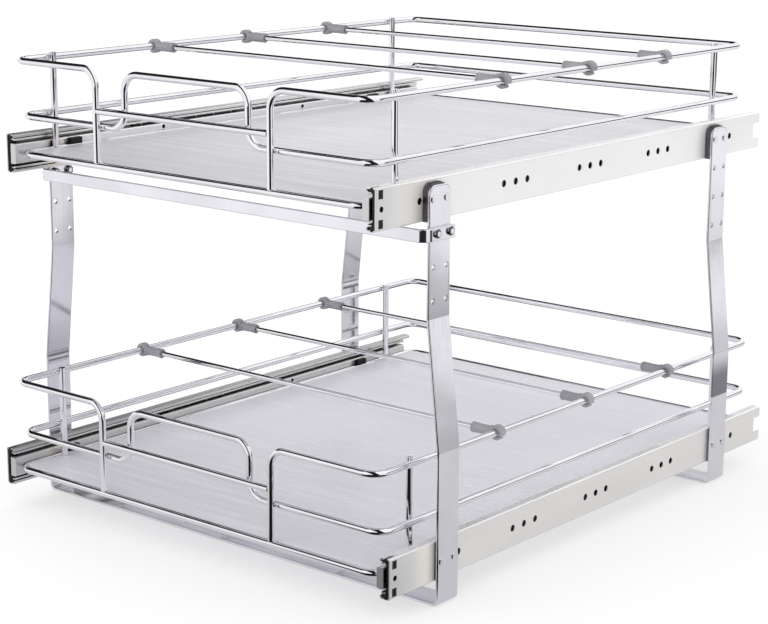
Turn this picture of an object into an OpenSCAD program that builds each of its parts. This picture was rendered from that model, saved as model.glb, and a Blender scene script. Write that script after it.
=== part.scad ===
// Two-tier pull-out cabinet basket.
// X is the width, Y the depth (the baskets pull out towards -Y), Z is up.
// The origin is the middle of the footprint, at floor level.

/* [Slides] */
// Length of the fixed slide members
slide_len = 573.5; // [500:0.5:600]
// Height of the fixed slide members
slide_h = 34; // [34:0.5:36]
// Half distance between the outer faces of the upper slides
upper_half = 212; // [190:0.5:212]
// Half distance between the outer faces of the lower slides
lower_half = 227.8; // [222:0.2:227.8]
// Height of the upper slides' bottom edge above the lower ones
tier_rise = 290.5; // [280:0.5:320]

/* [Frame] */
// Width of the flat strip that the legs are bent from
strip_w = 27; // [24:0.5:30]
// Thickness of that strip
strip_t = 2.5; // [2:0.1:3]
// Height of the lower slides' bottom edge above the floor
foot_h = 21; // [18:0.5:26]
// Distance from the slides' front to the front legs
front_leg_y = 55; // [53:0.5:60]
// Distance from the slides' front to the rear legs
rear_leg_y = 473; // [440:0.5:475]
// Gap that the spacer plates fill at the upper slides
upper_gap = 6; // [4.5:0.5:6.5]
// Gap that the spacer plates fill at the lower slides
lower_gap = 2.2; // [2:0.1:4]
// Height of the tie bar on edge
tie_h = 10.6; // [9.6:0.2:12]

/* [Baskets] */
// Diameter of the basket wire
wire_d = 6; // [5.6:0.1:6.2]
// Centre-line bend radius of the basket corners
corner_r = 13; // [11:0.5:16]
// Height of the top wire above the bottom wire
rim_h = 81.4; // [76:0.2:90]
// Height of the middle wire above the bottom wire
mid_h = 32.5; // [30:0.5:36]
// Rear end of the upper basket, from the slides' front
upper_rear = 553; // [540:1:560]
// Rear end of the lower basket, from the slides' front
lower_rear = 570; // [555:1:570]

/* [Dividers] */
// Diameter of the divider rods
rod_d = 4.6; // [4:0.1:5]
// Places of the upper dividers, from the slides' front
upper_div = [173, 296, 415];
// Places of the lower dividers, from the slides' front
lower_div = [160, 291, 422];

/* [Hidden] */
$fn = 48;

depth = slide_len;
wr = wire_d / 2;
slide_t = 12.7;          // slide thickness, outer face to inner face
tie_t = 3;               // tie bar thickness
zc_l = slide_h / 2;      // slide centre heights, from the lower slides' bottom edge
zc_u = tier_rise + slide_h / 2;
leg_xu = upper_half + upper_gap + strip_t;    // outer faces of the legs
leg_xl = lower_half + lower_gap + strip_t;
leg_top = tier_rise + slide_h - 4.5;
kink_hi = tier_rise - 76.5;
kink_lo = 108;
hole_z = [tier_rise + 18.5, tier_rise - 7.8, tier_rise - 35, tier_rise - 62];
hole_dy = [5.6, 21.9];
grey_steel = [0.80, 0.79, 0.77];
chrome_c = [0.86, 0.87, 0.90];
clip_grey = [0.52, 0.53, 0.56];
liner_c = [0.84, 0.83, 0.87];

// the model is laid out from the slides' front end and the lower slides' bottom edge
module place() translate([0, -depth / 2, foot_h]) children();
module both() { children(); mirror([1, 0, 0]) children(); }

// ---- flat strip bent in the XZ plane ------------------------------------
function unit(v) = v / norm(v);
function turn(a, b, c) = let (u = unit(b - a), v = unit(c - b)) acos(max(-1, min(1, u * v)));
// one bend of the strip: annular sector between the two straight parts
module bend2(a, b, c, r, t) {
  u = unit(b - a); v = unit(c - b);
  s = sign(u[0] * v[1] - u[1] * v[0]);
  th = turn(a, b, c);
  k = r * tan(th / 2);
  n = [-u[1], u[0]] * s;
  o = b - u * k + n * r;
  p1 = b - u * k; p2 = b + v * k;
  far = 3 * r;
  intersection() {
    translate(o) difference() { circle(r + t / 2, $fn = 64); circle(r - t / 2, $fn = 64); }
    polygon([o, o + unit(p1 - o) * far, o + unit(b - o) * far * 1.6, o + unit(p2 - o) * far]);
  }
}
module straight2(p, q, t) {
  d = unit(q - p); n = [-d[1], d[0]] * t / 2;
  polygon([p - n, q - n, q + n, p + n]);
}
module strip2(pts, rs, t) {
  m = len(pts);
  ks = [for (i = [0:m - 1]) (i == 0 || i == m - 1) ? 0 : rs[i] * tan(turn(pts[i - 1], pts[i], pts[i + 1]) / 2)];
  for (i = [0:m - 2]) {
    d = unit(pts[i + 1] - pts[i]);
    straight2(pts[i] + d * ks[i], pts[i + 1] - d * ks[i + 1], t);
  }
  for (i = [1:m - 2]) bend2(pts[i - 1], pts[i], pts[i + 1], rs[i], t);
}

// upper part of a leg, joggled outward between the two kinks; corners are mitred
function miter(a, b, c, t) = let (u = unit(b - a), v = unit(c - b), n = unit([-u[1] - v[1], u[0] + v[0]])) n * t / (n * [-u[1], u[0]]);
module joggled_leg2(xl, xu, z0, t) {
  p = [[xl, z0], [xl, kink_lo], [xu, kink_hi], [xu, leg_top]];
  m = [[-t / 2, 0], miter(p[0], p[1], p[2], t / 2), miter(p[1], p[2], p[3], t / 2), [-t / 2, 0]];
  polygon(concat([for (i = [0:3]) p[i] - m[i]], [for (i = [3:-1:0]) p[i] + m[i]]));
}
// a U-shaped frame: leg, floor strip and leg in one piece of flat strip
module leg_frame(y0) {
  h = strip_t / 2;
  xu = leg_xu - h; xl = leg_xl - h;
  z0 = 60;
  place() difference() {
    translate([0, y0 + strip_w, 0]) rotate([90, 0, 0]) linear_extrude(strip_w) {
      strip2([[-xl, z0], [-xl, -foot_h + h], [xl, -foot_h + h], [xl, z0]], [0, 4.5, 4.5, 0], strip_t);
      for (s = [-1, 1]) joggled_leg2(s * xl, s * xu, z0 - 4, strip_t);
    }
    // rounded leg tops
    both() for (s = [0, 1]) translate([leg_xu - strip_t - 1, y0 + s * strip_w, leg_top]) mirror([0, s, 0]) corner_cut(8);
    // hole pairs down the upper part of each leg, rivet holes at the lower slide
    for (z = hole_z, y = hole_dy) translate([-leg_xu - 5, y0 + y, z]) rotate([0, 90, 0]) cylinder(h = 2 * leg_xu + 10, r = 2.25);
    for (y = hole_dy) translate([-leg_xl - 5, y0 + y, zc_l]) rotate([0, 90, 0]) cylinder(h = 2 * leg_xl + 10, r = 2.25);
    // screw holes in the floor strip
    for (x = [-63.7, -8.3]) translate([x, y0 + strip_w / 2, -foot_h - 1]) cylinder(h = strip_t + 2, r = 2.25);
  }
}
// quarter-round cutter for a plate's top corner, along X
module corner_cut(r, t = strip_t) {
  difference() {
    translate([0, -1, -r]) cube([t + 2, r + 1, r + 1]);
    translate([-1, r, -r]) rotate([0, 90, 0]) cylinder(h = t + 4, r = r);
  }
}
module front_leg_frame() color(chrome_c) leg_frame(front_leg_y);
module rear_leg_frame() color(chrome_c) leg_frame(rear_leg_y);

// strip on edge across the front legs, wrapped round their outer faces
module front_tie_bar() {
  x = leg_xu + 0.1 + tie_t / 2;
  y0 = front_leg_y - 7.5;
  pts = [[-x, front_leg_y + strip_w + 2.5], [-x, y0], [x, y0], [x, front_leg_y + strip_w + 2.5]];
  color(chrome_c) place() difference() {
    translate([0, 0, hole_z[1] - tie_h / 2 - 0.9]) linear_extrude(tie_h) strip2(pts, [0, 8, 8, 0], tie_t);
    for (y = hole_dy) translate([-leg_xu - 5, front_leg_y + y, hole_z[1]]) rotate([0, 90, 0]) cylinder(h = 2 * leg_xu + 10, r = 2.25);
  }
}
// dome-headed screws with nuts behind, two on each side
module tie_bar_screws() {
  color([0.72, 0.72, 0.74]) place() both() for (y = hole_dy) translate([leg_xu + 0.1 + tie_t, front_leg_y + y, hole_z[1]]) rotate([0, 90, 0]) {
    rotate_extrude() polygon(concat([[0, 0], [3.9, 0]], [for (a = [0:10:90]) [1.9 + 2 * cos(a), 0.5 + 1.9 * sin(a)]], [[0, 2.4]]));
    translate([0, 0, -tie_t - strip_t - 0.1 - 2.9]) cylinder(h = tie_t + strip_t + 0.1 + 2.9, r = 2.15);
    translate([0, 0, -tie_t - strip_t - 0.1 - 2.4]) cylinder(h = 2.4, r = 3.9, $fn = 6);
  }
}
// two plates at each joint of leg and slide, a little narrower than the leg
module spacer_plate(x, y0, z0, z1, t, top_r) {
  translate([x, y0 + 1.8, z0]) difference() {
    cube([t, strip_w - 3.6, z1 - z0]);
    if (top_r > 0) for (s = [0, 1]) translate([-1, s * (strip_w - 3.6), z1 - z0]) mirror([0, s, 0]) corner_cut(top_r, t);
    for (y = hole_dy) translate([-1, y - 1.8, (z0 < 100 ? zc_l : hole_z[0]) - z0]) rotate([0, 90, 0]) cylinder(h = t + 2, r = 2.25);
  }
}
module slide_spacers() {
  color([0.62, 0.62, 0.64]) place() both() for (y0 = [front_leg_y, rear_leg_y]) for (k = [0, 1]) {
    spacer_plate(upper_half + k * upper_gap / 2, y0, tier_rise + 0.5, leg_top + 1.5 - k * 0.6, upper_gap / 2, 7);
    spacer_plate(lower_half + k * lower_gap / 2, y0, 1, slide_h - 1, lower_gap / 2, 0);
  }
}
module slide_rivets() {
  color([0.74, 0.74, 0.76]) place() both() for (y0 = [front_leg_y, rear_leg_y], y = hole_dy) {
    translate([0, y0 + y, hole_z[0]]) rivet(upper_half, upper_gap);
    translate([0, y0 + y, zc_l]) rivet(lower_half, lower_gap);
  }
}
// one rivet through leg, spacers and outer slide member
module rivet(x, g) {
  rotate([0, 90, 0]) {
    translate([0, 0, x - 1.2]) cylinder(h = g + strip_t + 1.2, r = 2.2);
    translate([0, 0, x + g + strip_t]) cylinder(h = 0.8, r = 3.2);
    translate([0, 0, x - 1.2 - 0.4]) cylinder(h = 0.4, r = 3.0);
  }
}

// ---- ball-bearing slides ---------------------------------------------------
// sections are drawn with u inwards from the outer face and v up from the centre
H2 = slide_h / 2;
module sym_v() { children(); mirror([0, 1]) children(); }
// quarter ring in one of the four quadrants, for the rolled corners of a section
module quarter(r, t, sx) intersection() {
  difference() { circle(r, $fn = 48); circle(r - t, $fn = 48); }
  translate([sx < 0 ? -r : 0, 0]) square([r, r]);
}
module sec_outer() sym_v() {
  square([1.2, H2 - 2]);
  translate([2, H2 - 2]) quarter(2, 1.2, -1);
  translate([2, H2 - 1.2]) square([6, 1.2]);
  translate([8, H2 - 2]) quarter(2, 1.2, 1);
  translate([8.8, H2 - 3.1]) square([1.2, 1.1]);
}
module sec_middle() sym_v() { translate([3.4, 0]) square([1.1, H2 - 4]); translate([3.4, H2 - 5]) square([5.9, 1]); translate([8.3, H2 - 5.7]) square([1, 1.7]); }
module sec_inner() sym_v() {
  translate([slide_t - 1.1, 0]) square([1.1, 7.2]);
  translate([slide_t - 1.6, 7.2]) quarter(1.6, 1.1, 1);
  translate([6.3, 7.7]) square([slide_t - 7.9, 1.1]);
}
module sec_cage_o() sym_v() { translate([1.9, 0]) square([0.7, H2 - 2.3]); translate([1.9, H2 - 2.9]) square([6.5, 0.6]); }
module sec_cage_i() sym_v() { translate([5.1, 0]) square([0.6, H2 - 6.3]); translate([5.1, H2 - 6.9]) square([2.9, 0.6]); }
ball_o = [6.0, H2 - 2.6, 1.15];
ball_i = [6.75, H2 - 6.6, 1.35];

// right-hand slide along Y; xo is the outer face, zc the centre height
module run(xo, zc, y0, y1) translate([xo, y1, zc]) rotate([90, 0, 0]) linear_extrude(y1 - y0) mirror([1, 0]) children();
module outer_rail(xo, zc, holes, rivets) {
  difference() {
    run(xo, zc, 0.8, slide_len) sec_outer();
    // rear notch, front slots and the row of holes
    translate([xo - 1.7, slide_len - 11, zc - 7.2]) cube([2.4, 20, 14.4]);
    for (s = [-1, 1]) translate([xo - 1.7, 3.8, zc + s * 11.4 - 3.5]) cube([2.4, 5.6, 7]);
    translate([xo - 1.7, 7.4, zc]) rotate([0, 90, 0]) cylinder(h = 2.4, r = 2.4);
    for (y = holes) translate([xo - 1.7, y, zc]) rotate([0, 90, 0]) cylinder(h = 2.4, r = 3);
    for (y = rivets) translate([xo - 1.7, y, zc + (zc > 100 ? hole_z[0] - zc_u : 0)]) rotate([0, 90, 0]) cylinder(h = 2.4, r = 2.25);
  }
}
trio = [for (c = [178.4, 286.1, 393.7]) for (d = [-16.1, 0, 16.1]) c + d];
rivet_y = [for (y0 = [front_leg_y, rear_leg_y], y = hole_dy) y0 + y];
upper_holes = concat([53.5], trio, [518.3]);
lower_holes = concat([88], trio, [518.3]);
module middle_rail(xo, zc) {
  difference() {
    run(xo, zc, 2, 559) sec_middle();
    for (y = [40, 280, 520]) translate([xo - 5, y, zc]) rotate([0, 90, 0]) cylinder(h = 2.4, r = 3);
  }
}
module inner_rail(xo, zc) {
  difference() {
    union() {
      run(xo, zc, 0, 560) sec_inner();
      // bent end tab at the front
      translate([xo - slide_t + 0.5, 0, zc - 8.3]) cube([slide_t - 6.8, 1.2, 16.6]);
    }
    for (y = clip_y) translate([xo - slide_t - 1, y - 5, zc - 2.2]) cube([3, 10, 4.4]);
    for (y = [180, 375]) translate([xo - slide_t - 1, y, zc + 5.6]) rotate([0, 90, 0]) cylinder(h = 3, r = 2);
  }
}
// plastic stop in the front of the fixed member: a channel round the middle member's path, with lugs in the web's slots
module slide_stop(xo, zc) {
  translate([xo - 3.05, 1.6, zc - 15.6]) cube([1.8, 6.4, 31.2]);
  for (s = [-1, 1]) {
    translate([xo - 8.5, 1.6, zc + (s > 0 ? 13.35 : -15.6)]) cube([6.5, 6.4, 2.25]);
    translate([xo - 1.3, 4.1, zc + s * 11.4 - 3.2]) cube([0.8, 5, 6.4]);
  }
}
clip_y = [67, 483];
// black saddle clips: snapped over the basket's bottom wire, with a peg in the inner member's slot
module rail_clip(xo, zc, xw, zw) for (y = clip_y) difference() {
  union() {
    translate([xo - slide_t - 5, y - 6.5, zw - 5.6]) cube([5, 13, 5.6 + 8]);
    translate([xo - slide_t - 0.5, y - 4.8, zc - 2]) cube([2.4, 9.6, 4]);
  }
  translate([xw, y - 9, zw]) rotate([-90, 0, 0]) cylinder(h = 18, r = wr + 0.05);
  translate([xo - slide_t - 6, y - 9, zw - 2.2]) cube([xw - xo + slide_t + 6, 18, 4.4]);
}
cage_y = 146; cage_l = 140; nb = 6;
function ball_ys() = [for (i = [0:nb - 1]) cage_y + 10 + i * (cage_l - 20) / (nb - 1)];
module cage(xo, zc, b) {
  difference() {
    run(xo, zc, cage_y, cage_y + cage_l) children();
    for (y = ball_ys(), s = [-1, 1]) translate([xo - b[0], y, zc + s * b[1] - 1]) cylinder(h = 2, r = b[2] + 0.12);
  }
}
module balls(xo, zc, b) for (y = ball_ys(), s = [-1, 1]) translate([xo - b[0], y, zc + s * b[1]]) sphere(r = b[2], $fn = 24);

module upper_left_outer_rail() color(grey_steel) place() mirror([1, 0, 0]) outer_rail(upper_half, zc_u, upper_holes, rivet_y);
module upper_right_outer_rail() color(grey_steel) place() outer_rail(upper_half, zc_u, upper_holes, rivet_y);
module lower_left_outer_rail() color(grey_steel) place() mirror([1, 0, 0]) outer_rail(lower_half, zc_l, lower_holes, rivet_y);
module lower_right_outer_rail() color(grey_steel) place() outer_rail(lower_half, zc_l, lower_holes, rivet_y);
module upper_left_middle_rail() color(grey_steel) place() mirror([1, 0, 0]) middle_rail(upper_half, zc_u);
module upper_right_middle_rail() color(grey_steel) place() middle_rail(upper_half, zc_u);
module lower_left_middle_rail() color(grey_steel) place() mirror([1, 0, 0]) middle_rail(lower_half, zc_l);
module lower_right_middle_rail() color(grey_steel) place() middle_rail(lower_half, zc_l);
module upper_left_inner_rail() color(grey_steel) place() mirror([1, 0, 0]) inner_rail(upper_half, zc_u);
module upper_right_inner_rail() color(grey_steel) place() inner_rail(upper_half, zc_u);
module lower_left_inner_rail() color(grey_steel) place() mirror([1, 0, 0]) inner_rail(lower_half, zc_l);
module lower_right_inner_rail() color(grey_steel) place() inner_rail(lower_half, zc_l);
module upper_outer_ball_cages() color([0.7, 0.7, 0.7]) place() both() cage(upper_half, zc_u, ball_o) sec_cage_o();
module upper_inner_ball_cages() color([0.7, 0.7, 0.7]) place() both() cage(upper_half, zc_u, ball_i) sec_cage_i();
module lower_outer_ball_cages() color([0.7, 0.7, 0.7]) place() both() cage(lower_half, zc_l, ball_o) sec_cage_o();
module lower_inner_ball_cages() color([0.7, 0.7, 0.7]) place() both() cage(lower_half, zc_l, ball_i) sec_cage_i();
module upper_outer_balls() color([0.85, 0.85, 0.86]) place() both() balls(upper_half, zc_u, ball_o);
module upper_inner_balls() color([0.85, 0.85, 0.86]) place() both() balls(upper_half, zc_u, ball_i);
module lower_outer_balls() color([0.85, 0.85, 0.86]) place() both() balls(lower_half, zc_l, ball_o);
module lower_inner_balls() color([0.85, 0.85, 0.86]) place() both() balls(lower_half, zc_l, ball_i);
module upper_slide_stops() color([0.08, 0.08, 0.08]) place() both() slide_stop(upper_half, zc_u);
module lower_slide_stops() color([0.08, 0.08, 0.08]) place() both() slide_stop(lower_half, zc_l);
module upper_rail_clips() color([0.08, 0.08, 0.08]) place() both() rail_clip(upper_half, zc_u, bu[1], bu[4]);
module lower_rail_clips() color([0.08, 0.08, 0.08]) place() both() rail_clip(lower_half, zc_l, bl[1], bl[4]);

// ---- round wire along a path of straight runs and bends -------------------
function orient(d) = [0, acos(d[2]), atan2(d[1], d[0])];
module rod(p, q, r) translate(p) rotate(orient(unit(q - p))) cylinder(h = norm(q - p), r = r);
module bend3(a, b, c, br, r) {
  u = unit(b - a); v = unit(c - b); th = acos(max(-1, min(1, u * v)));
  n = unit(v - (u * v) * u); k = br * tan(th / 2);
  o = b - u * k + n * br; w = cross(-n, u);
  multmatrix([[-n[0], u[0], w[0], o[0]], [-n[1], u[1], w[1], o[1]], [-n[2], u[2], w[2], o[2]], [0, 0, 0, 1]])
    rotate_extrude(angle = th) translate([br, 0]) circle(r);
}
module wire(pts, rs, r) {
  m = len(pts);
  ks = [for (i = [0:m - 1]) (i == 0 || i == m - 1) ? 0 : let (u = unit(pts[i] - pts[i - 1]), v = unit(pts[i + 1] - pts[i])) rs[i] * tan(acos(max(-1, min(1, u * v))) / 2)];
  for (i = [0:m - 2]) { d = unit(pts[i + 1] - pts[i]); rod(pts[i] + d * ks[i], pts[i + 1] - d * ks[i + 1], r); }
  for (i = [1:m - 2]) bend3(pts[i - 1], pts[i], pts[i + 1], rs[i], r);
}

// ---- basket ------------------------------------------------------------------
// a basket is described by b = [half width of the rims, half width of the bottom wire, front y, rear y, bottom z]
bu = [upper_half - 10.5, upper_half - slide_t - wr, 5.5, upper_rear, zc_u + 0.2];
bl = [lower_half - 15.8, lower_half - slide_t - wr, 3.0, lower_rear, zc_l - 0.2];
post_x = 100; grip_x = 71;
post_front = [43, 51]; post_rear = [512, 517];

module top_wire(b) {
  z1 = b[4] + rim_h; z0 = b[4] + wr - 0.6;
  wire([[-post_x, b[2], z0], [-post_x, b[2], z1], [-b[0], b[2], z1], [-b[0], b[3], z1], [b[0], b[3], z1], [b[0], b[2], z1], [post_x, b[2], z1], [post_x, b[2], z0]],
    [0, 15, corner_r, corner_r, corner_r, corner_r, 15, 0], wr);
}
// middle wire: once round the basket behind the front posts, and up over the hand grip
module middle_wire(b) {
  z = b[4] + mid_h; y = b[2] + wire_d; zt = b[4] + 79.4; yr = b[3];
  wire([[0, y, zt], [-grip_x, y, zt], [-grip_x, y, z], [-b[0], y, z], [-b[0], yr, z], [b[0], yr, z], [b[0], y, z], [grip_x, y, z], [grip_x, y, zt], [0, y, zt]],
    [0, 15, 15, corner_r, corner_r, corner_r, corner_r, 15, 15, 0], wr);
}
module bottom_wire(b) {
  wire([[0, b[2], b[4]], [-b[1], b[2], b[4]], [-b[1], b[3], b[4]], [b[1], b[3], b[4]], [b[1], b[2], b[4]], [0, b[2], b[4]]],
    [0, corner_r, corner_r, corner_r, corner_r, 0], wr);
}
// corner posts stand on or beside the bottom wire and end a little above the rim
module corner_posts(b, k) for (s = [-1, 1], y = [post_front[k], post_rear[k]])
  rod([s * (b[0] - wire_d), y, b[4] + (k == 0 ? wr - 0.4 : -1.5)], [s * (b[0] - wire_d), y, b[4] + rim_h + 4.6], wr);
module front_wire(b) rod([-post_x + wr - 0.8, b[2], b[4] + 46.4], [post_x - wr + 0.8, b[2], b[4] + 46.4], wr);
// round wires across the floor, and two long ones under them
floor_n = 13;
module floor_wires(b) {
  p = (b[3] - b[2]) / (floor_n + 1);
  for (i = [1:floor_n]) rod([-b[1] + wr - 0.6, b[2] + i * p, b[4] - 1.2], [b[1] - wr + 0.6, b[2] + i * p, b[4] - 1.2], 1.8);
  for (x = [-70, 70]) rod([x, b[2] + p - 4, b[4] - 5], [x, b[3] - p + 4, b[4] - 5], 2.1);
}
// liner mat that fills the bottom wire, notched round posts that stand beside that wire
module liner(b, notches) {
  hw = b[1] - wr - 0.6; y0 = b[2] + wr + 0.6; y1 = b[3] - wr - 0.6; r = corner_r - wr - 0.6;
  translate([0, 0, b[4] + 0.7]) linear_extrude(1.8) difference() {
    union() {
      translate([-hw, y0 + r]) square([2 * hw, y1 - y0 - 2 * r]);
      translate([-hw + r, y0]) square([2 * hw - 2 * r, y1 - y0]);
      for (x = [-hw + r, hw - r], y = [y0 + r, y1 - r]) translate([x, y]) circle(r);
    }
    for (s = [-1, 1], y = notches) translate([s * (b[0] - wire_d), y]) circle(wr + 0.5);
  }
}
module upper_top_wire() color(chrome_c) place() top_wire(bu);
module upper_middle_wire() color(chrome_c) place() middle_wire(bu);
module upper_bottom_wire() color(chrome_c) place() bottom_wire(bu);
module upper_corner_posts() color(chrome_c) place() corner_posts(bu, 0);
module upper_front_wire() color(chrome_c) place() front_wire(bu);
module upper_floor_wires() color(chrome_c) place() floor_wires(bu);
module upper_liner() color(liner_c) place() liner(bu, []);
module lower_top_wire() color(chrome_c) place() top_wire(bl);
module lower_middle_wire() color(chrome_c) place() middle_wire(bl);
module lower_bottom_wire() color(chrome_c) place() bottom_wire(bl);
module lower_corner_posts() color(chrome_c) place() corner_posts(bl, 1);
module lower_front_wire() color(chrome_c) place() front_wire(bl);
module lower_floor_wires() color(chrome_c) place() floor_wires(bl);
module lower_liner() color(liner_c) place() liner(bl, [post_front[1], post_rear[1]]);

// ---- sliding dividers ----------------------------------------------------------
// the rod ends inside the sleeves; each clip is a C that snaps over the top wire from inside
clip_ring = 6.5; clip_w = 7.5; sleeve_l = 26;
module divider_rod(b, y) rod([-b[0] + 9, y, b[4] + rim_h], [b[0] - 9, y, b[4] + rim_h], rod_d / 2);
module divider_clips(b, y) both() translate([b[0], y, b[4] + rim_h]) difference() {
  union() {
    rotate([90, 0, 0]) translate([0, 0, -clip_w / 2]) cylinder(h = clip_w, r = clip_ring);
    translate([-sleeve_l, 0, 0]) rotate([0, 90, 0]) cylinder(h = sleeve_l - 4.5, r = 4.7);
  }
  rotate([90, 0, 0]) translate([0, 0, -clip_w]) cylinder(h = clip_w * 2, r = wr + 0.08);
  // mouth of the C, outwards and down
  rotate([90, 0, 0]) translate([0, 0, -clip_w]) linear_extrude(clip_w * 2) polygon([[0, 0], [9, -3.4], [9, -12], [8, -12.4]]);
  translate([-sleeve_l - 1, 0, 0]) rotate([0, 90, 0]) cylinder(h = sleeve_l - 7.9, r = rod_d / 2 + 0.05);
}
module upper_front_divider_rod() color(chrome_c) place() divider_rod(bu, upper_div[0]);
module upper_front_divider_clips() color(clip_grey) place() divider_clips(bu, upper_div[0]);
module upper_middle_divider_rod() color(chrome_c) place() divider_rod(bu, upper_div[1]);
module upper_middle_divider_clips() color(clip_grey) place() divider_clips(bu, upper_div[1]);
module upper_rear_divider_rod() color(chrome_c) place() divider_rod(bu, upper_div[2]);
module upper_rear_divider_clips() color(clip_grey) place() divider_clips(bu, upper_div[2]);
module lower_front_divider_rod() color(chrome_c) place() divider_rod(bl, lower_div[0]);
module lower_front_divider_clips() color(clip_grey) place() divider_clips(bl, lower_div[0]);
module lower_middle_divider_rod() color(chrome_c) place() divider_rod(bl, lower_div[1]);
module lower_middle_divider_clips() color(clip_grey) place() divider_clips(bl, lower_div[1]);
module lower_rear_divider_rod() color(chrome_c) place() divider_rod(bl, lower_div[2]);
module lower_rear_divider_clips() color(clip_grey) place() divider_clips(bl, lower_div[2]);

front_leg_frame();
rear_leg_frame();
front_tie_bar();
tie_bar_screws();
slide_spacers();
slide_rivets();
upper_left_outer_rail();
upper_right_outer_rail();
lower_left_outer_rail();
lower_right_outer_rail();
upper_left_middle_rail();
upper_right_middle_rail();
lower_left_middle_rail();
lower_right_middle_rail();
upper_left_inner_rail();
upper_right_inner_rail();
lower_left_inner_rail();
lower_right_inner_rail();
upper_outer_ball_cages();
upper_inner_ball_cages();
lower_outer_ball_cages();
lower_inner_ball_cages();
upper_outer_balls();
upper_inner_balls();
lower_outer_balls();
lower_inner_balls();
upper_slide_stops();
lower_slide_stops();
upper_rail_clips();
lower_rail_clips();
upper_top_wire();
upper_middle_wire();
upper_bottom_wire();
upper_corner_posts();
upper_front_wire();
upper_floor_wires();
upper_liner();
lower_top_wire();
lower_middle_wire();
lower_bottom_wire();
lower_corner_posts();
lower_front_wire();
lower_floor_wires();
lower_liner();
upper_front_divider_rod();
upper_front_divider_clips();
upper_middle_divider_rod();
upper_middle_divider_clips();
upper_rear_divider_rod();
upper_rear_divider_clips();
lower_front_divider_rod();
lower_front_divider_clips();
lower_middle_divider_rod();
lower_middle_divider_clips();
lower_rear_divider_rod();
lower_rear_divider_clips();
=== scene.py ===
import bpy, bmesh, math
from mathutils import Matrix, Vector, noise


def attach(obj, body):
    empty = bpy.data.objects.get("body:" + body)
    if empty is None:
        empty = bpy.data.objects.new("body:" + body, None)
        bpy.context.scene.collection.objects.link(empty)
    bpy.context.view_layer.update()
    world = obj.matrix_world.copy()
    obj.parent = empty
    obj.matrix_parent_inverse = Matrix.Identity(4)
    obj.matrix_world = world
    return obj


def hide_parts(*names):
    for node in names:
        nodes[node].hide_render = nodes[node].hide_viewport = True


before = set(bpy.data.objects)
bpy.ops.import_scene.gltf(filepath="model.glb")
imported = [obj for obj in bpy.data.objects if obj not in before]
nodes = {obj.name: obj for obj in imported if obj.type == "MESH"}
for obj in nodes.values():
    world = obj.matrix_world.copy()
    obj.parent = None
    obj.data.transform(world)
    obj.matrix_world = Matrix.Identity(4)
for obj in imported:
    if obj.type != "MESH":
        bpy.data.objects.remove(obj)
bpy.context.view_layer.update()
scene = bpy.context.scene

# ---------------------------------------------------------------- layout numbers, in mm, as in part.scad
DEPTH, FOOT = 573.5, 21.0
WR = 3.0
UP = dict(key="upper", rim=201.5, low=196.3, y0=5.5, y1=553.0, z=307.7, posts=(43.0, 512.0), div=(173.0, 296.0, 415.0), post_z0=310.3, notch=())
LO = dict(key="lower", rim=212.0, low=212.1, y0=3.0, y1=570.0, z=16.8, posts=(51.0, 517.0), div=(160.0, 291.0, 422.0), post_z0=15.3, notch=(51.0, 517.0))
RIM_H, MID_H, POST_X, GRIP_X = 81.4, 32.5, 100.0, 71.0


def P(x, y, z):
    """Layout millimetres to frame metres."""
    return Vector((x / 1000.0, (y - DEPTH / 2) / 1000.0, (z + FOOT) / 1000.0))


# ---------------------------------------------------------------- camera, from the calibration of the photograph
def make_camera():
    cam = bpy.data.cameras.new("camera")
    obj = bpy.data.objects.new("camera", cam)
    scene.collection.objects.link(obj)
    az, el, roll = math.radians(39.72), math.radians(13.32), math.radians(0.32)
    back = Vector((math.sin(az) * math.cos(el), -math.cos(az) * math.cos(el), math.sin(el)))
    fwd = -back
    right = fwd.cross(Vector((0, 0, 1))).normalized()
    up = right.cross(fwd)
    r2 = right * math.cos(roll) + up * math.sin(roll)
    u2 = up * math.cos(roll) - right * math.sin(roll)
    m = Matrix((r2, u2, back)).transposed().to_4x4()
    m.translation = Vector((1.17445, -1.43418, 0.60524))
    obj.matrix_world = m
    cam.sensor_fit = "HORIZONTAL"
    cam.sensor_width = 36.0
    cam.lens = 2028.79 * 36.0 / 768.0
    cam.clip_start, cam.clip_end = 0.05, 60.0
    scene.camera = obj


make_camera()
scene.view_settings.view_transform = "Standard"
scene.view_settings.look = "None"
scene.view_settings.exposure = 0.0
scene.view_settings.gamma = 1.0


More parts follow.
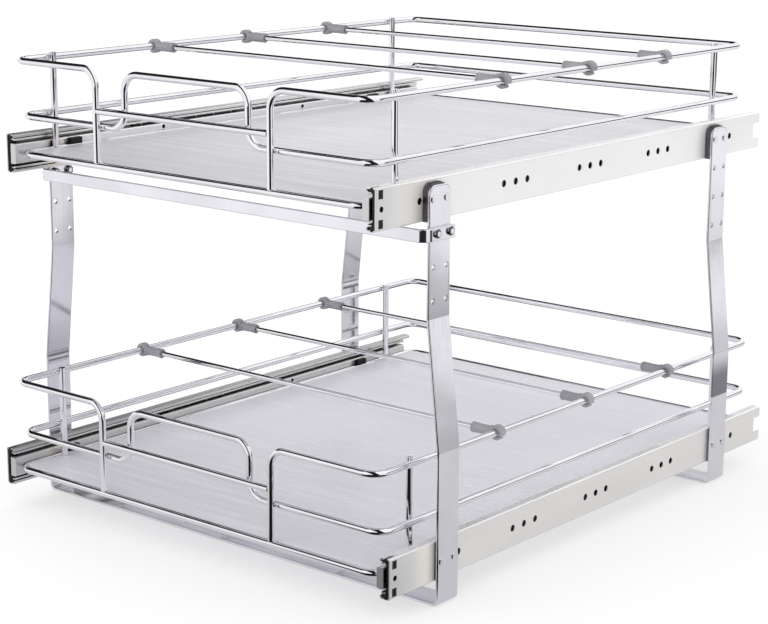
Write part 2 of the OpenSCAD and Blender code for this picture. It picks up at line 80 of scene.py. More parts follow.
# ---------------------------------------------------------------- node helpers
class Net:
    def __init__(self, tree):
        self.t = tree

    def new(self, kind, **props):
        n = self.t.nodes.new(kind)
        for k, v in props.items():
            setattr(n, k, v)
        return n

    def link(self, a, b):
        self.t.links.new(a, b)

    def put(self, socket, v):
        if isinstance(v, bpy.types.NodeSocket):
            self.link(v, socket)
        else:
            socket.default_value = v

    def math(self, op, a, b=None, c=None, clamp=False):
        n = self.new("ShaderNodeMath", operation=op, use_clamp=clamp)
        for i, v in enumerate((a, b, c)):
            if v is not None:
                self.put(n.inputs[i], v)
        return n.outputs[0]

    def ramp(self, x, lo, hi, a=0.0, b=1.0, smooth=True):
        n = self.new("ShaderNodeMapRange", interpolation_type="SMOOTHSTEP" if smooth else "LINEAR", clamp=True)
        self.put(n.inputs["Value"], x)
        n.inputs["From Min"].default_value = lo
        n.inputs["From Max"].default_value = hi
        n.inputs["To Min"].default_value = a
        n.inputs["To Max"].default_value = b
        return n.outputs["Result"]

    def mul(self, *xs):
        out = xs[0]
        for x in xs[1:]:
            out = self.math("MULTIPLY", out, x)
        return out

    def mix(self, fac, a, b):
        n = self.new("ShaderNodeMix", data_type="RGBA", blend_type="MIX")
        self.put(n.inputs["Factor"], fac)
        for s, v in ((n.inputs[6], a), (n.inputs[7], b)):
            self.put(s, tuple(v) + (1.0,) if isinstance(v, (tuple, list)) and len(v) == 3 else v)
        return n.outputs[2]

    def noise(self, scale, detail=2.0, rough=0.5, stretch=(1, 1, 1), vec=None, w=0.0):
        if vec is None:
            vec = self.coords()
        m = self.new("ShaderNodeMapping")
        self.link(vec, m.inputs["Vector"])
        m.inputs["Scale"].default_value = stretch
        m.inputs["Location"].default_value = (w, w * 0.7, w * 1.3)
        n = self.new("ShaderNodeTexNoise")
        self.link(m.outputs[0], n.inputs["Vector"])
        n.inputs["Scale"].default_value = scale
        n.inputs["Detail"].default_value = detail
        n.inputs["Roughness"].default_value = rough
        return n.outputs["Fac"]

    def coords(self):
        if not hasattr(self, "_c"):
            self._c = self.new("ShaderNodeTexCoord").outputs["Object"]
        return self._c

    def xyz(self, vec):
        n = self.new("ShaderNodeSeparateXYZ")
        self.link(vec, n.inputs[0])
        return n.outputs[0], n.outputs[1], n.outputs[2]

    def bump(self, height, strength, distance, normal=None):
        n = self.new("ShaderNodeBump")
        self.put(n.inputs["Height"], height)
        n.inputs["Strength"].default_value = strength
        n.inputs["Distance"].default_value = distance
        if normal is not None:
            self.link(normal, n.inputs["Normal"])
        return n.outputs[0]


def material(name, metallic=0.0, **sockets):
    m = bpy.data.materials.new(name)
    m.use_nodes = True
    net = Net(m.node_tree)
    bsdf = next(n for n in m.node_tree.nodes if n.type == "BSDF_PRINCIPLED")
    bsdf.inputs["Metallic"].default_value = metallic
    for k, v in sockets.items():
        bsdf.inputs[k.replace("_", " ")].default_value = v
    return m, net, bsdf


# ---------------------------------------------------------------- stage: floor, studio surroundings
def make_stage():
    me = bpy.data.meshes.new("studio_floor")
    s = 14.0
    me.from_pydata([(-s, -s, 0), (s, -s, 0), (s, s, 0), (-s, s, 0)], [], [(0, 1, 2, 3)])
    floor = bpy.data.objects.new("studio_floor", me)
    scene.collection.objects.link(floor)
    m, n, bsdf = material("studio_floor", Roughness=0.9)
    bsdf.inputs["Specular IOR Level"].default_value = 0.0
    fine = n.noise(3.0, 2.0)
    n.link(n.mix(fine, (0.945, 0.945, 0.95), (0.96, 0.96, 0.965)), bsdf.inputs["Base Color"])
    # what polished metal sees of the floor, for glossy rays only: a painted reflection, pale, with painted dark
    # patches standing for the flags that a product studio lays round its set, and painted shade under the set
    x, y, z = n.xyz(n.coords())
    r = n.math("SQRT", n.math("ADD", n.mul(x, x), n.mul(y, y)))
    az = n.math("ARCTAN2", x, n.math("MULTIPLY", y, -1.0))  # 0 towards -Y, 90 degrees towards +X
    deg = math.radians
    front = n.mul(n.ramp(az, deg(5), deg(10)), n.ramp(az, deg(60), deg(66), 1, 0), n.ramp(r, 0.33, 0.37))
    side = n.mul(n.ramp(az, deg(92), deg(98)), n.math("ADD", n.ramp(az, deg(114), deg(120), 0.55, 0), n.ramp(az, deg(124), deg(131), 0.40, 0)), n.ramp(r, 1.05, 1.2))
    back = n.mul(n.ramp(az, deg(106), deg(114)), n.ramp(r, 3.0, 3.8))
    left = n.mul(n.ramp(az, deg(-168), deg(-158)), n.ramp(az, deg(-104), deg(-92), 1, 0), n.ramp(r, 0.22, 0.34))
    under = n.math("ADD", n.ramp(r, 0.1, 0.95, 0.66, 0.77), n.ramp(r, 0.95, 1.15, 0.0, 0.23))
    painted_flags = n.math("MAXIMUM", n.math("MAXIMUM", n.mul(front, 0.985), side), n.math("MAXIMUM", n.mul(back, 0.9), n.mul(left, 0.8)))
    dark = n.math("SUBTRACT", 1.0, painted_flags)
    val = n.mul(under, dark)
    em = n.new("ShaderNodeEmission")
    em.inputs["Color"].default_value = (1.0, 0.99, 1.0, 1.0)
    n.link(val, em.inputs["Strength"])
    # a lit sheet under the set keeps its shadow faint
    glow = n.new("ShaderNodeEmission")
    glow.inputs["Color"].default_value = (1.0, 1.0, 1.0, 1.0)
    glow.inputs["Strength"].default_value = 1.0
    lift = n.new("ShaderNodeMixShader")
    lift.inputs[0].default_value = 0.5
    n.link(bsdf.outputs[0], lift.inputs[1])
    n.link(glow.outputs[0], lift.inputs[2])
    lp = n.new("ShaderNodeLightPath")
    mixer = n.new("ShaderNodeMixShader")
    n.link(lp.outputs["Is Glossy Ray"], mixer.inputs[0])
    n.link(lift.outputs[0], mixer.inputs[1])
    n.link(em.outputs[0], mixer.inputs[2])
    out = next(k for k in m.node_tree.nodes if k.type == "OUTPUT_MATERIAL")
    n.link(mixer.outputs[0], out.inputs["Surface"])
    me.materials.append(m)


def make_world():
    w = bpy.data.worlds.new("studio")
    scene.world = w
    w.use_nodes = True
    t = w.node_tree
    t.nodes.clear()
    n = Net(t)
    tc = n.new("ShaderNodeTexCoord").outputs["Generated"]
    x, y, z = n.xyz(tc)
    # dark upper-left flag, seen by wires that run along X
    flag_a = n.mul(n.ramp(x, -0.46, -0.40, 1, 0), n.ramp(z, 0.28, 0.33), n.ramp(y, -0.60, -0.50))
    # dark gap between the tents, from the camera's side over the top to that flag
    d = n.math("ADD", n.math("ADD", n.mul(x, -0.655), n.mul(y, -0.648)), n.mul(z, -0.390))
    gap = n.mul(n.ramp(d, -0.42, -0.36), n.ramp(d, 0.15, 0.21, 1, 0), n.ramp(y, 0.30, 0.40, 1, 0), n.ramp(z, -0.12, -0.08))
    # low dark line behind on the right, seen by wires that run along Y
    flag_b = n.mul(n.ramp(x, 0.15, 0.3), n.ramp(y, 0.35, 0.5), n.ramp(z, -0.05, -0.02), n.ramp(z, 0.15, 0.21, 1, 0))
    # low flag on the far left
    flag_c = n.mul(n.ramp(x, -0.74, -0.69, 1, 0), n.ramp(y, 0.35, 0.5), n.ramp(z, 0.0, 0.04))
    dark = n.math("MAXIMUM", n.math("MAXIMUM", n.mul(flag_a, 0.985), n.mul(gap, 0.985)), n.math("MAXIMUM", n.mul(flag_b, 0.95), n.mul(flag_c, 0.8)))
    tent = n.ramp(z, -0.1, 0.9, 0.98, 1.12)
    glossy = n.mul(tent, n.math("SUBTRACT", 1.0, dark))
    lp = n.new("ShaderNodeLightPath")
    diffuse = n.ramp(z, 0.0, 1.0, 1.30, 1.10)
    v = n.new("ShaderNodeMix", data_type="FLOAT")
    n.link(lp.outputs["Is Glossy Ray"], v.inputs["Factor"])
    n.link(diffuse, v.inputs[2])
    n.link(glossy, v.inputs[3])
    v2 = n.new("ShaderNodeMix", data_type="FLOAT")
    n.link(lp.outputs["Is Camera Ray"], v2.inputs["Factor"])
    n.link(v.outputs[0], v2.inputs[2])
    v2.inputs[3].default_value = 1.0
    bg = n.new("ShaderNodeBackground")
    bg.inputs["Color"].default_value = (0.995, 0.995, 1.0, 1.0)
    n.link(v2.outputs[0], bg.inputs["Strength"])
    out = n.new("ShaderNodeOutputWorld")
    n.link(bg.outputs[0], out.inputs["Surface"])
    # one big soft lamp high on the left, for shape and a soft shadow
    lamp = bpy.data.lights.new("softbox", "AREA")
    lamp.shape, lamp.size, lamp.size_y = "RECTANGLE", 2.4, 2.0
    lamp.energy = 9.0
    lo = bpy.data.objects.new("softbox", lamp)
    scene.collection.objects.link(lo)
    lo.location = (-1.3, -2.1, 1.7)
    lo.rotation_mode = "QUATERNION"
    lo.rotation_quaternion = (Vector((0, 0, 0.2)) - lo.location).to_track_quat("-Z", "Y")
    lo.visible_glossy = False


make_stage()
make_world()


# ---------------------------------------------------------------- materials
def chrome_wire():
    m, n, b = material("chrome_wire", 1.0)
    cloud = n.noise(9.0, 3.0, 0.6)
    speck = n.noise(420.0, 2.0, 0.6)
    base = n.mix(n.ramp(cloud, 0.35, 0.7), (0.90, 0.895, 0.925), (0.82, 0.815, 0.85))
    n.link(base, b.inputs["Base Color"])
    n.link(n.ramp(speck, 0.3, 0.75, 0.015, 0.05), b.inputs["Roughness"])
    wave = n.noise(55.0, 1.0, 0.4)
    n.link(n.bump(wave, 0.14, 0.0003), b.inputs["Normal"])
    return m


def chrome_strip():
    m, n, b = material("chrome_strip", 1.0)
    cloud = n.noise(14.0, 3.0, 0.55)
    grain = n.noise(1.0, 3.0, 0.6, stretch=(900, 900, 25))
    base = n.mix(n.ramp(cloud, 0.3, 0.72), (0.86, 0.855, 0.90), (0.76, 0.755, 0.80))
    x, y, z = n.xyz(n.coords())
    # painted dark reflection: a dark band is painted on the legs just above their lower kinks, fading upwards
    painted_kink_band = n.mul(n.ramp(z, 0.1275, 0.1295), n.ramp(z, 0.132, 0.185, 1, 0))
    base = n.mix(n.mul(painted_kink_band, 0.62), base, (0.42, 0.42, 0.45))
    # painted dark reflections: the same dark tone is painted above the upper kinks of the right legs and low on the
    # rear one
    right = n.ramp(x, 0.10, 0.15)
    upper = n.mul(n.ramp(z, 0.2345, 0.2360), n.ramp(z, 0.236, 0.292, 1, 0, smooth=False), right)
    base = n.mix(n.mul(upper, n.ramp(y, 0.0, 0.05, 0.85, 0.35)), base, (0.42, 0.42, 0.45))
    rear = n.mul(n.ramp(z, 0.0855, 0.0868), n.ramp(z, 0.104, 0.127, 1, 0), n.ramp(y, 0.1, 0.15), right)
    base = n.mix(n.mul(rear, 0.85), base, (0.15, 0.15, 0.18))
    n.link(base, b.inputs["Base Color"])
    n.link(n.ramp(grain, 0.25, 0.8, 0.07, 0.16), b.inputs["Roughness"])
    wave = n.noise(30.0, 1.0, 0.4)
    n.link(n.bump(wave, 0.12, 0.0008), b.inputs["Normal"])
    return m


TOPS = tuple(max(c[2] for c in nodes[k].bound_box) for k in ("lower_left_outer_rail", "upper_left_outer_rail"))


def painted_hollow_shade(n, colour, reach=0.011, lo=0.22, hi=0.56, dark=(0.02, 0.02, 0.022), open_face=None):
    """Painted shade in narrow hollows, from how closed in a point is."""
    ao = n.new("ShaderNodeAmbientOcclusion", samples=12)
    ao.inputs["Distance"].default_value = reach
    fac = n.ramp(ao.outputs["AO"], lo, hi)
    return n.mix(fac if open_face is None else n.math("MAXIMUM", fac, open_face), dark, colour)


def zinc_rail():
    m, n, b = material("zinc_rail", 0.72)
    brush = n.noise(1.0, 4.0, 0.6, stretch=(700, 7, 700))
    cloud = n.noise(7.0, 3.0, 0.6, stretch=(1, 1, 2.5))
    x, y, z = n.xyz(n.coords())
    # painted shade: the lower slides are painted a little greyer than the upper ones
    tier = n.ramp(z, 0.15, 0.2)
    a = n.mix(tier, (0.735, 0.72, 0.705), (0.93, 0.925, 0.92))
    a = n.mix(n.ramp(cloud, 0.35, 0.7, 0.0, 0.75), a, n.mix(tier, (0.685, 0.67, 0.66), (0.885, 0.88, 0.875)))
    # passivation tint: greyer at the front end, a little warm behind it
    a = n.mix(n.mul(n.ramp(y, -0.262, -0.245), n.ramp(y, -0.245, -0.2, 1, 0)), a, (0.85, 0.80, 0.745))
    a = n.mix(n.ramp(y, -0.285, -0.225, 0.9, 0.0), a, n.mix(tier, (0.60, 0.60, 0.60), (0.64, 0.64, 0.64)))
    # the end tabs are duller
    a = n.mix(n.ramp(y, -0.2855, -0.2848, 0.5, 0.0), a, (0.50, 0.50, 0.51))
    c = n.mix(n.ramp(brush, 0.4, 0.75, 0.0, 0.10), a, (0.96, 0.96, 0.955))
    # painted reflections on the rolled upper flange: a painted bright highlight on the right slides, painted dark
    # reflections on the left ones
    left = n.ramp(x, -0.1, 0.1, 1, 0)

    def painted_flange_band(z0, z1):
        return n.math("MAXIMUM", *[n.mul(n.ramp(z, t - z0, t - z1), n.ramp(z, t + 0.0005, t + 0.001, 1, 0)) for t in TOPS])

    c = n.mix(n.mul(painted_flange_band(0.0037, 0.0032), left, n.ramp(y, -0.22, 0.02, 0.7, 0.08)), c, (0.42, 0.415, 0.42))
    c = n.mix(n.mul(painted_flange_band(0.0009, 0.0003), left, n.ramp(y, -0.12, 0.12, 0.8, 0.38)), c, (0.30, 0.295, 0.305))
    c = n.mix(n.mul(painted_flange_band(0.0009, 0.0003), n.math("SUBTRACT", 1.0, left), 0.8), c, (0.99, 0.99, 0.99))
    # painted shade: the front ends of the middle members are painted black for the deep gaps there, and narrow
    # hollows are painted darker the more closed in they are; outside faces get none of it
    face = n.math("MULTIPLY_ADD", tier, -0.0158, 0.2278)
    u = n.math("SUBTRACT", face, n.math("ABSOLUTE", x))
    c = n.mix(n.mul(n.ramp(u, 0.0026, 0.0031), n.ramp(u, 0.0052, 0.0058, 1, 0), n.ramp(y, -0.280, -0.274, 1, 0)), c, (0.015, 0.015, 0.016))
    open_face = n.ramp(n.math("SUBTRACT", n.math("ABSOLUTE", x), face), -0.0006, -0.0003)
    n.link(painted_hollow_shade(n, c, open_face=open_face), b.inputs["Base Color"])
    rough = n.ramp(brush, 0.3, 0.75, 0.21, 0.26)
    n.link(n.math("MULTIPLY_ADD", open_face, 0.13, rough), b.inputs["Roughness"])
    n.link(n.math("MULTIPLY_ADD", open_face, -0.34, 0.72), b.inputs["Metallic"])
    n.link(n.bump(brush, 0.012, 0.0001), b.inputs["Normal"])
    return m


def plain_steel(name, hi, lo_, r0, r1, scale=60.0, hollow_shade=False):
    m, n, b = material(name, 1.0)
    c = n.noise(scale, 3.0, 0.6)
    colour = n.mix(n.ramp(c, 0.3, 0.7), hi, lo_)
    n.link(painted_hollow_shade(n, colour, 0.008, 0.3, 0.7) if hollow_shade else colour, b.inputs["Base Color"])
    n.link(n.ramp(n.noise(scale * 6, 2.0, 0.6), 0.3, 0.7, r0, r1), b.inputs["Roughness"])
    return m


def screw_steel():
    m, n, b = material("fasteners", 1.0)
    c = n.noise(150.0, 3.0, 0.6)
    colour = n.mix(n.ramp(c, 0.3, 0.7), (0.84, 0.84, 0.86), (0.74, 0.74, 0.77))
    x, y, z = n.xyz(n.coords())
    # painted shade: a dark ring is painted round each of the two tie-bar screw heads
    zc = P(0, 0, 282.7).z
    for yc in (P(0, 60.6, 0).y, P(0, 76.9, 0).y):
        dy, dz = n.math("SUBTRACT", y, yc), n.math("SUBTRACT", z, zc)
        d = n.math("SQRT", n.math("ADD", n.mul(dy, dy), n.mul(dz, dz)))
        colour = n.mix(n.mul(n.ramp(d, 0.0019, 0.0023), n.ramp(d, 0.0036, 0.0039, 1, 0), 0.9), colour, (0.05, 0.05, 0.055))
    n.link(colour, b.inputs["Base Color"])
    n.link(n.ramp(n.noise(900.0, 2.0, 0.6), 0.3, 0.7, 0.08, 0.18), b.inputs["Roughness"])
    return m


def plastic(name, hi, lo_, r0, r1, scale=120.0, bump=0.1, spec=0.5):
    m, n, b = material(name, 0.0)
    b.inputs["Specular IOR Level"].default_value = spec
    c = n.noise(scale * 0.3, 3.0, 0.6)
    g = n.noise(scale * 14, 2.0, 0.6)
    n.link(n.mix(n.ramp(c, 0.3, 0.7), hi, lo_), b.inputs["Base Color"])
    n.link(n.ramp(c, 0.3, 0.7, r0, r1), b.inputs["Roughness"])
    n.link(n.bump(g, bump, 0.0002), b.inputs["Normal"])
    return m


def liner_mat():
    m, n, b = material("liner_mat", 0.0)
    b.inputs["Coat Weight"].default_value = 0.25
    b.inputs["Coat Roughness"].default_value = 0.22
    streak = n.noise(1.0, 4.0, 0.6, stretch=(6, 120, 6))
    broad = n.noise(1.0, 2.0, 0.5, stretch=(3, 26, 3), w=3.0)
    cloud = n.noise(5.0, 3.0, 0.5)
    x, y, z = n.xyz(n.coords())
    # the lower mat is a little paler, being less in the basket's shade in the photograph
    tier = n.ramp(z, 0.15, 0.2)
    a = n.mix(n.ramp(cloud, 0.3, 0.72), n.mix(tier, (0.88, 0.87, 0.915), (0.71, 0.70, 0.745)), n.mix(tier, (0.83, 0.82, 0.87), (0.67, 0.66, 0.705)))
    # painted shade: each mat is painted darker from its middle towards its front edge
    a = n.mix(n.ramp(y, -0.27, 0.0), n.mix(tier, (0.70, 0.69, 0.735), (0.58, 0.57, 0.61)), a)
    c = n.mix(n.ramp(streak, 0.45, 0.76, 0.0, 0.45), a, n.mix(tier, (0.95, 0.95, 0.97), (0.85, 0.85, 0.88)))
    c = n.mix(n.ramp(broad, 0.5, 0.75, 0.0, 0.22), c, n.mix(tier, (0.72, 0.71, 0.76), (0.60, 0.59, 0.63)))
    n.link(c, b.inputs["Base Color"])
    n.link(n.ramp(streak, 0.3, 0.75, 0.42, 0.26), b.inputs["Roughness"])
    g = n.noise(900.0, 2.0, 0.6)
    n.link(n.bump(g, 0.08, 0.0002), b.inputs["Normal"])
    return m


M = {
    "chrome_wire": chrome_wire(),
    "chrome_strip": chrome_strip(),
    "zinc_rail": zinc_rail(),
    # the ball cages get painted shade in their hollows
    "cage_steel": plain_steel("cage_steel", (0.30, 0.30, 0.31), (0.20, 0.20, 0.21), 0.3, 0.45, hollow_shade=True),
    "ball_steel": plain_steel("ball_steel", (0.86, 0.86, 0.87), (0.78, 0.78, 0.80), 0.05, 0.12, 200.0),
    "spacer_steel": plain_steel("spacer_steel", (0.22, 0.22, 0.245), (0.12, 0.12, 0.135), 0.32, 0.45, 40.0),
    "fasteners": screw_steel(),
    "black_clip": plastic("black_clip", (0.012, 0.012, 0.013), (0.006, 0.006, 0.007), 0.4, 0.55, spec=0.25),
    "divider_clip": plastic("divider_clip", (0.33, 0.335, 0.355), (0.24, 0.245, 0.26), 0.22, 0.34),
    "liner": liner_mat(),
}


def slot_of(name):
    if name.endswith(("leg_frame", "tie_bar")):
        return "chrome_strip"
    if name.endswith("_rail"):
        return "zinc_rail"
    if name.endswith("ball_cages"):
        return "cage_steel"
    if name.endswith("_balls"):
        return "ball_steel"
    if name == "slide_spacers":
        return "spacer_steel"
    if name in ("tie_bar_screws", "slide_rivets"):
        return "fasteners"
    if name.endswith(("rail_clips", "slide_stops")):
        return "black_clip"
    if name.endswith("divider_clips"):
        return "divider_clip"
    if name.endswith("_liner"):
        return "liner"
    return "chrome_wire"


def edge_group(name, rim=None):
    """Geometry nodes: bevel weights (less on the rims of small holes in a strip whose middle is at Y = rim)."""
    g = bpy.data.node_groups.new(name, "GeometryNodeTree")
    g.interface.new_socket("Geometry", in_out="INPUT", socket_type="NodeSocketGeometry")
    g.interface.new_socket("Geometry", in_out="OUTPUT", socket_type="NodeSocketGeometry")
    L, N = g.links.new, g.nodes.new

    def op(kind, a, b, operation, out=0):
        n = N(kind)
        n.operation = operation
        for i, v in enumerate((a, b)):
            if v is None:
                continue
            if isinstance(v, bpy.types.NodeSocket):
                L(v, n.inputs[i])
            else:
                n.inputs[i].default_value = v
        return n.outputs[out]

    gi, go = N("NodeGroupInput"), N("NodeGroupOutput")
    ang = N("GeometryNodeInputMeshEdgeAngle").outputs[0]
    sharp = op("ShaderNodeMath", ang, math.radians(40), "GREATER_THAN")
    if rim is None:
        weight = sharp
    else:
        ev = N("GeometryNodeInputMeshEdgeVertices")
        length = op("ShaderNodeVectorMath", ev.outputs["Position 1"], ev.outputs["Position 2"], "DISTANCE", 1)
        sep = N("ShaderNodeSeparateXYZ")
        L(ev.outputs["Position 1"], sep.inputs[0])
        off = op("ShaderNodeMath", op("ShaderNodeMath", sep.outputs[1], rim, "SUBTRACT"), None, "ABSOLUTE")
        hole = op("ShaderNodeMath", op("ShaderNodeMath", length, 0.00042, "LESS_THAN"), op("ShaderNodeMath", off, 0.0122, "LESS_THAN"), "MULTIPLY")
        weight = op("ShaderNodeMath", sharp, op("ShaderNodeMath", 1.0, op("ShaderNodeMath", hole, 0.68, "MULTIPLY"), "SUBTRACT"), "MULTIPLY")
    st = N("GeometryNodeStoreNamedAttribute")
    st.data_type, st.domain = "FLOAT", "EDGE"
    st.inputs["Name"].default_value = "bevel_weight_edge"
    L(weight, st.inputs["Value"])
    L(gi.outputs[0], st.inputs["Geometry"])
    L(st.outputs[0], go.inputs[0])
    return g


def kink_group():
    """Geometry nodes: smooth shading, but the strip's shallow kinks stay crisp."""
    g = bpy.data.node_groups.new("crisp_kinks", "GeometryNodeTree")
    g.interface.new_socket("Geometry", in_out="INPUT", socket_type="NodeSocketGeometry")
    g.interface.new_socket("Geometry", in_out="OUTPUT", socket_type="NodeSocketGeometry")
    L, N = g.links.new, g.nodes.new
    gi, go = N("NodeGroupInput"), N("NodeGroupOutput")
    ang = N("GeometryNodeInputMeshEdgeAngle").outputs[0]

    def cmp(v, op):
        n = N("ShaderNodeMath")
        n.operation = op
        L(ang, n.inputs[0])
        n.inputs[1].default_value = math.radians(v)
        return n.outputs[0]

    both = N("ShaderNodeMath")
    both.operation = "MULTIPLY"
    L(cmp(6.0, "GREATER_THAN"), both.inputs[0])
    L(cmp(7.2, "LESS_THAN"), both.inputs[1])
    face, edge = N("GeometryNodeSetShadeSmooth"), N("GeometryNodeSetShadeSmooth")
    face.domain, edge.domain = "FACE", "EDGE"
    edge.inputs["Shade Smooth"].default_value = False
    L(gi.outputs[0], face.inputs["Geometry"])
    L(face.outputs[0], edge.inputs["Geometry"])
    L(both.outputs[0], edge.inputs["Selection"])
    L(edge.outputs[0], go.inputs[0])
    return g


EDGES = {"plain": edge_group("edge_weights")}
KINKS = kink_group()


def bevel(obj, width, segments=2, rim=None):
    w = obj.modifiers.new("weld", "WELD")
    w.merge_threshold = 1e-6
    d = obj.modifiers.new("planar", "DECIMATE")
    d.decimate_type = "DISSOLVE"
    d.angle_limit = math.radians(0.5)
    if rim is not None and rim not in EDGES:
        EDGES[rim] = edge_group("edge_weights_%d" % len(EDGES), rim)
    obj.modifiers.new("weights", "NODES").node_group = EDGES["plain" if rim is None else rim]
    b = obj.modifiers.new("edge", "BEVEL")
    b.width = width
    b.segments = segments
    b.limit_method = "WEIGHT"
    b.use_clamp_overlap = rim is None and width < 0.0008
    obj.modifiers.new("crisp", "NODES").node_group = KINKS
    n = obj.modifiers.new("normals", "WEIGHTED_NORMAL")
    n.mode = "FACE_AREA"
    n.weight = 100
    n.keep_sharp = True


for name, obj in nodes.items():
    s = slot_of(name)
    obj.data.materials.clear()
    obj.data.materials.append(M[s])


# ---------------------------------------------------------------- meshes
def mesh_object(name, bm, mat, body, smooth=True, angle=None):
    bmesh.ops.recalc_face_normals(bm, faces=bm.faces)
    me = bpy.data.meshes.new(name)
    bm.to_mesh(me)
    bm.free()
    me.materials.append(mat)
    if smooth:
        me.shade_smooth()
        if angle is not None:
            me.set_sharp_from_angle(angle=math.radians(angle))
    o = bpy.data.objects.new(name, me)
    scene.collection.objects.link(o)
    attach(o, body)
    return o


def liner_piece(b):
    """Ribbed mat: ribs across the basket, rounded corners, notches at posts that stand beside the bottom wire."""
    hw, ya, yb, r = b["low"] - WR - 0.6, b["y0"] + WR + 0.6, b["y1"] - WR - 0.6, 13 - WR - 0.6
    z0, z1 = b["z"] + 0.7, b["z"] + 2.5
    pitch, steps = 5.4, 6
    rows = int((yb - ya) / pitch * steps)
    cols = 30
    bm = bmesh.new()
    top, bot = [], []
    for i in range(rows + 1):
        y = ya + (yb - ya) * i / rows
        h = hw
        d = min(y - ya, yb - y)
        if d < r:
            h = hw - r + math.sqrt(max(0.0, r * r - (r - d) ** 2))
        for ny in b["notch"]:
            if abs(y - ny) < 3.5:
                h = min(h, b["rim"] - 6.0 - math.sqrt(3.5 ** 2 - (y - ny) ** 2))
        ph = ((y - ya) / pitch) % 1.0
        rib = 0.5 - 0.5 * math.cos(2 * math.pi * ph)
        edge = min(1.0, d / 3.0)
        ta, ba = [], []
        for j in range(cols + 1):
            u = -1 + 2 * j / cols
            u = math.copysign(abs(u) ** 0.8, u) if u else 0.0
            x = h * u
            e = min(1.0, (h - abs(x)) / 3.0)
            e = min(e, edge)
            sag = 0.16 * noise.noise(Vector((x * 0.012, y * 0.012, b["z"])))
            zt = z1 - 0.2 - 0.16 * (1 - e) ** 2 - 0.22 * rib * e + min(0.0, sag)
            ta.append(bm.verts.new(P(x, y, zt)))
            ba.append(bm.verts.new(P(x, y, z0)))
        top.append(ta)
        bot.append(ba)
    for i in range(rows):
        for j in range(cols):
            bm.faces.new((top[i][j], top[i][j + 1], top[i + 1][j + 1], top[i + 1][j]))
            bm.faces.new((bot[i][j], bot[i + 1][j], bot[i + 1][j + 1], bot[i][j + 1]))
        bm.faces.new((top[i][0], top[i + 1][0], bot[i + 1][0], bot[i][0]))
        bm.faces.new((top[i][cols], bot[i][cols], bot[i + 1][cols], top[i + 1][cols]))
    for j in range(cols):
        bm.faces.new((top[0][j], bot[0][j], bot[0][j + 1], top[0][j + 1]))
        bm.faces.new((top[rows][j], top[rows][j + 1], bot[rows][j + 1], bot[rows][j]))
    o = mesh_object(b["key"] + "_liner_mat", bm, M["liner"], b["key"] + "_basket", angle=50)
    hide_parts(b["key"] + "_liner")


def blob(bm, centre, radii, seed, rough=0.12, sub=2):
    """A weld bead: an uneven little mound of metal."""
    res = bmesh.ops.create_icosphere(bm, subdivisions=sub, radius=1.0)
    for v in res["verts"]:
        k = 1.0 + rough * noise.noise(v.co * 1.9 + Vector((seed * 3.7, seed * 1.3, seed * 5.1)))
        v.co = centre + Vector((v.co.x * radii[0] * k, v.co.y * radii[1] * k, v.co.z * radii[2] * k)) / 1000.0


def weld_piece(b):
    bm = bmesh.new()
    seed = 1 if b["key"] == "upper" else 200
    z, y0, y1, rim, low = b["z"], b["y0"], b["y1"], b["rim"], b["low"]

    def add(p, radii, rough=0.16):
        nonlocal seed
        seed += 1
        blob(bm, P(*p), radii, seed, rough)

    for s in (-1, 1):
        # front posts on the bottom wire, the middle wire behind them and the straight wire between them
        add((s * POST_X, y0 + 0.5, z + 3.1), (3.8, 3.0, 1.6))
        add((s * POST_X, y0 + 3.0, z + MID_H), (2.6, 1.1, 2.6))
        add((s * (POST_X - 3.1), y0 + 0.5, z + 46.4), (1.0, 2.5, 3.3))
        for y in b["posts"]:
            x = s * (rim - 6)
            if b["key"] == "upper":
                add((x, y, z + 3.0), (3.4, 3.6, 1.3))
            else:
                add((x + s * 3.2, y, z + 0.4), (1.0, 2.6, 2.4))
            add((x + s * 3.0, y, z + MID_H), (1.1, 2.6, 2.6))
            add((x + s * 3.0, y, z + RIM_H), (1.1, 2.6, 2.6))
    o = mesh_object(b["key"] + "_weld_beads", bm, M["chrome_wire"], b["key"] + "_basket")
    return o


def lathe(bm, profile, origin, axis, ref, seg=40, a0=0.0, a1=360.0):
    """Turns a profile of (along, radius) pairs round an axis; its ends are left open."""
    axis, ref = axis.normalized(), ref.normalized()
    side = axis.cross(ref)
    full = abs(a1 - a0) >= 359.9
    k = seg if full else seg + 1
    rings = []
    for u, r in profile:
        ring = []
        for i in range(k):
            a = math.radians(a0 + (a1 - a0) * i / seg)
            ring.append(bm.verts.new(origin + (axis * u + (ref * math.cos(a) + side * math.sin(a)) * r) / 1000.0))
        rings.append(ring)
    for p, q in zip(rings, rings[1:]):
        for i in range(k if full else k - 1):
            j = (i + 1) % k
            bm.faces.new((p[i], p[j], q[j], q[i]))
    return rings


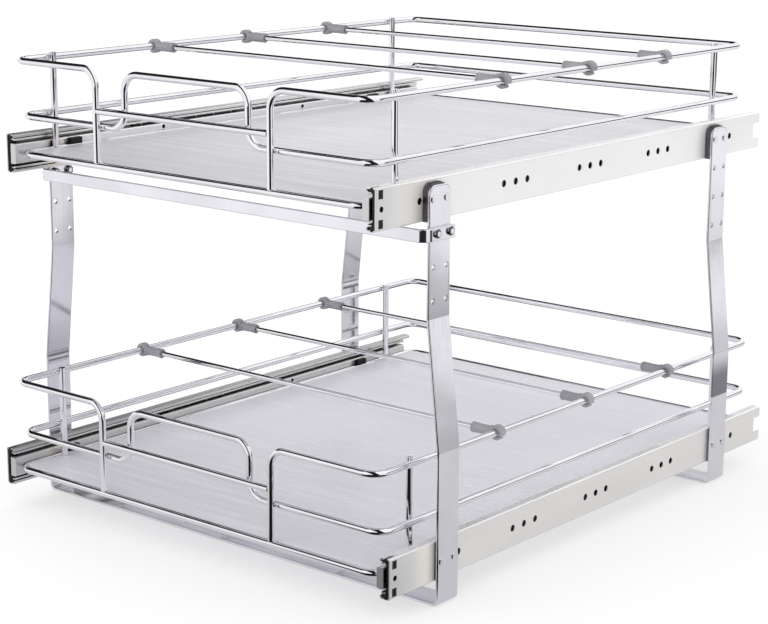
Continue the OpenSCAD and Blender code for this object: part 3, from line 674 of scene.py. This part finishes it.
def clip_piece(b, which, y):
    """A pair of divider clips: a C-ring that snaps on the rim, a tapered sleeve for the rod with a collar at its end."""
    bm = bmesh.new()
    for s in (-1, 1):
        c = P(s * b["rim"], y, b["z"] + RIM_H)
        out = Vector((s, 0, 0))
        up = Vector((0, 0, 1))
        ay = Vector((0, 1, 0))
        # ring section: rounded rectangle between radii 3.15 and 6.45, 7.4 wide
        sec = []
        ro, ri, hw, f = 6.45, 3.12, 3.7, 1.1
        for (cx, cr, q) in ((hw - f, ro - f, 0), (-(hw - f), ro - f, 90), (-(hw - f * 0.5), ri + f * 0.5, 180), (hw - f * 0.5, ri + f * 0.5, 270)):
            ff = f if cr > 4.5 else f * 0.5
            for i in range(5):
                a = math.radians(q + 90 * i / 4)
                sec.append((cx + ff * math.cos(a), cr + ff * math.sin(a)))
        # the C runs from -20.7 degrees up and round to 302.8, angles from the outward direction towards up
        a0, a1, seg = -20.7, 302.8, 44
        rings = []
        for i in range(seg + 1):
            t = i / seg
            a = math.radians(a0 + (a1 - a0) * t)
            lip = 1.0 - 0.16 * math.exp(-((min(t, 1 - t) / 0.03) ** 2))
            d = out * math.cos(a) + up * math.sin(a)
            ring = []
            for (w, r) in sec:
                rr = 4.8 + (r - 4.8) * lip
                ring.append(bm.verts.new(c + (ay * w * (0.9 + 0.1 * lip) + d * rr) / 1000.0))
            rings.append(ring)
        kk = len(sec)
        for p, q in zip(rings, rings[1:]):
            for i in range(kk):
                j = (i + 1) % kk
                bm.faces.new((p[i], p[j], q[j], q[i]))
        bm.faces.new(rings[0])
        bm.faces.new(list(reversed(rings[-1])))
        # sleeve along X, open at the rod's end
        prof = [(-24.0, 2.36), (-25.4, 2.36), (-25.9, 2.75), (-26.0, 3.5), (-25.8, 4.3), (-25.2, 4.66), (-24.2, 4.68), (-23.5, 4.4), (-23.2, 4.1), (-22.4, 4.0),
                (-18.0, 3.9), (-13.0, 3.72), (-9.5, 3.62), (-7.6, 3.7), (-6.2, 4.0), (-5.0, 4.3), (-4.2, 4.2), (-4.0, 3.2), (-4.0, 0.05)]
        rings = lathe(bm, prof, c, out, up, 36)
        bm.faces.new(rings[-1])
        inner = rings[0]
        bm.faces.new(inner)
        # two stiffening ribs along the sleeve, above and below
        for sg in (1, -1):
            pts = []
            for (u, h) in ((-23.0, 4.45), (-15.0, 4.3), (-8.0, 4.35), (-5.2, 5.3)):
                for w in (-0.55, 0.55):
                    pts.append(bm.verts.new(c + (out * u + up * sg * h + ay * w) / 1000.0))
                for w in (-0.75, 0.75):
                    pts.append(bm.verts.new(c + (out * u + up * sg * 3.0 + ay * w) / 1000.0))
            n = 4
            for i in range(3):
                a, d = pts[i * n:(i + 1) * n], pts[(i + 1) * n:(i + 2) * n]
                bm.faces.new((a[0], a[1], d[1], d[0]))
                bm.faces.new((a[2], a[0], d[0], d[2]))
                bm.faces.new((a[1], a[3], d[3], d[1]))
                bm.faces.new((a[3], a[2], d[2], d[3]))
            a, d = pts[:n], pts[-n:]
            bm.faces.new((a[0], a[2], a[3], a[1]))
            bm.faces.new((d[0], d[1], d[3], d[2]))
    name = "%s_%s_divider" % (b["key"], which)
    o = mesh_object(name + "_clip_pair", bm, M["divider_clip"], name, angle=38)
    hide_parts(name + "_clips")


for b in (UP, LO):
    liner_piece(b)
    weld_piece(b)
    for which, y in zip(("front", "middle", "rear"), b["div"]):
        clip_piece(b, which, y)

# rounded edges on the sheet-metal parts
bevel(nodes["front_leg_frame"], 0.00108, 4, P(0, 68.5, 0).y)
bevel(nodes["rear_leg_frame"], 0.00108, 4, P(0, 486.5, 0).y)
bevel(nodes["front_tie_bar"], 0.0009, 4)
for name in nodes:
    if name.endswith("outer_rail"):
        bevel(nodes[name], 0.0003)
    if name.endswith(("rail_clips", "slide_stops")):
        bevel(nodes[name], 0.0005, 3)
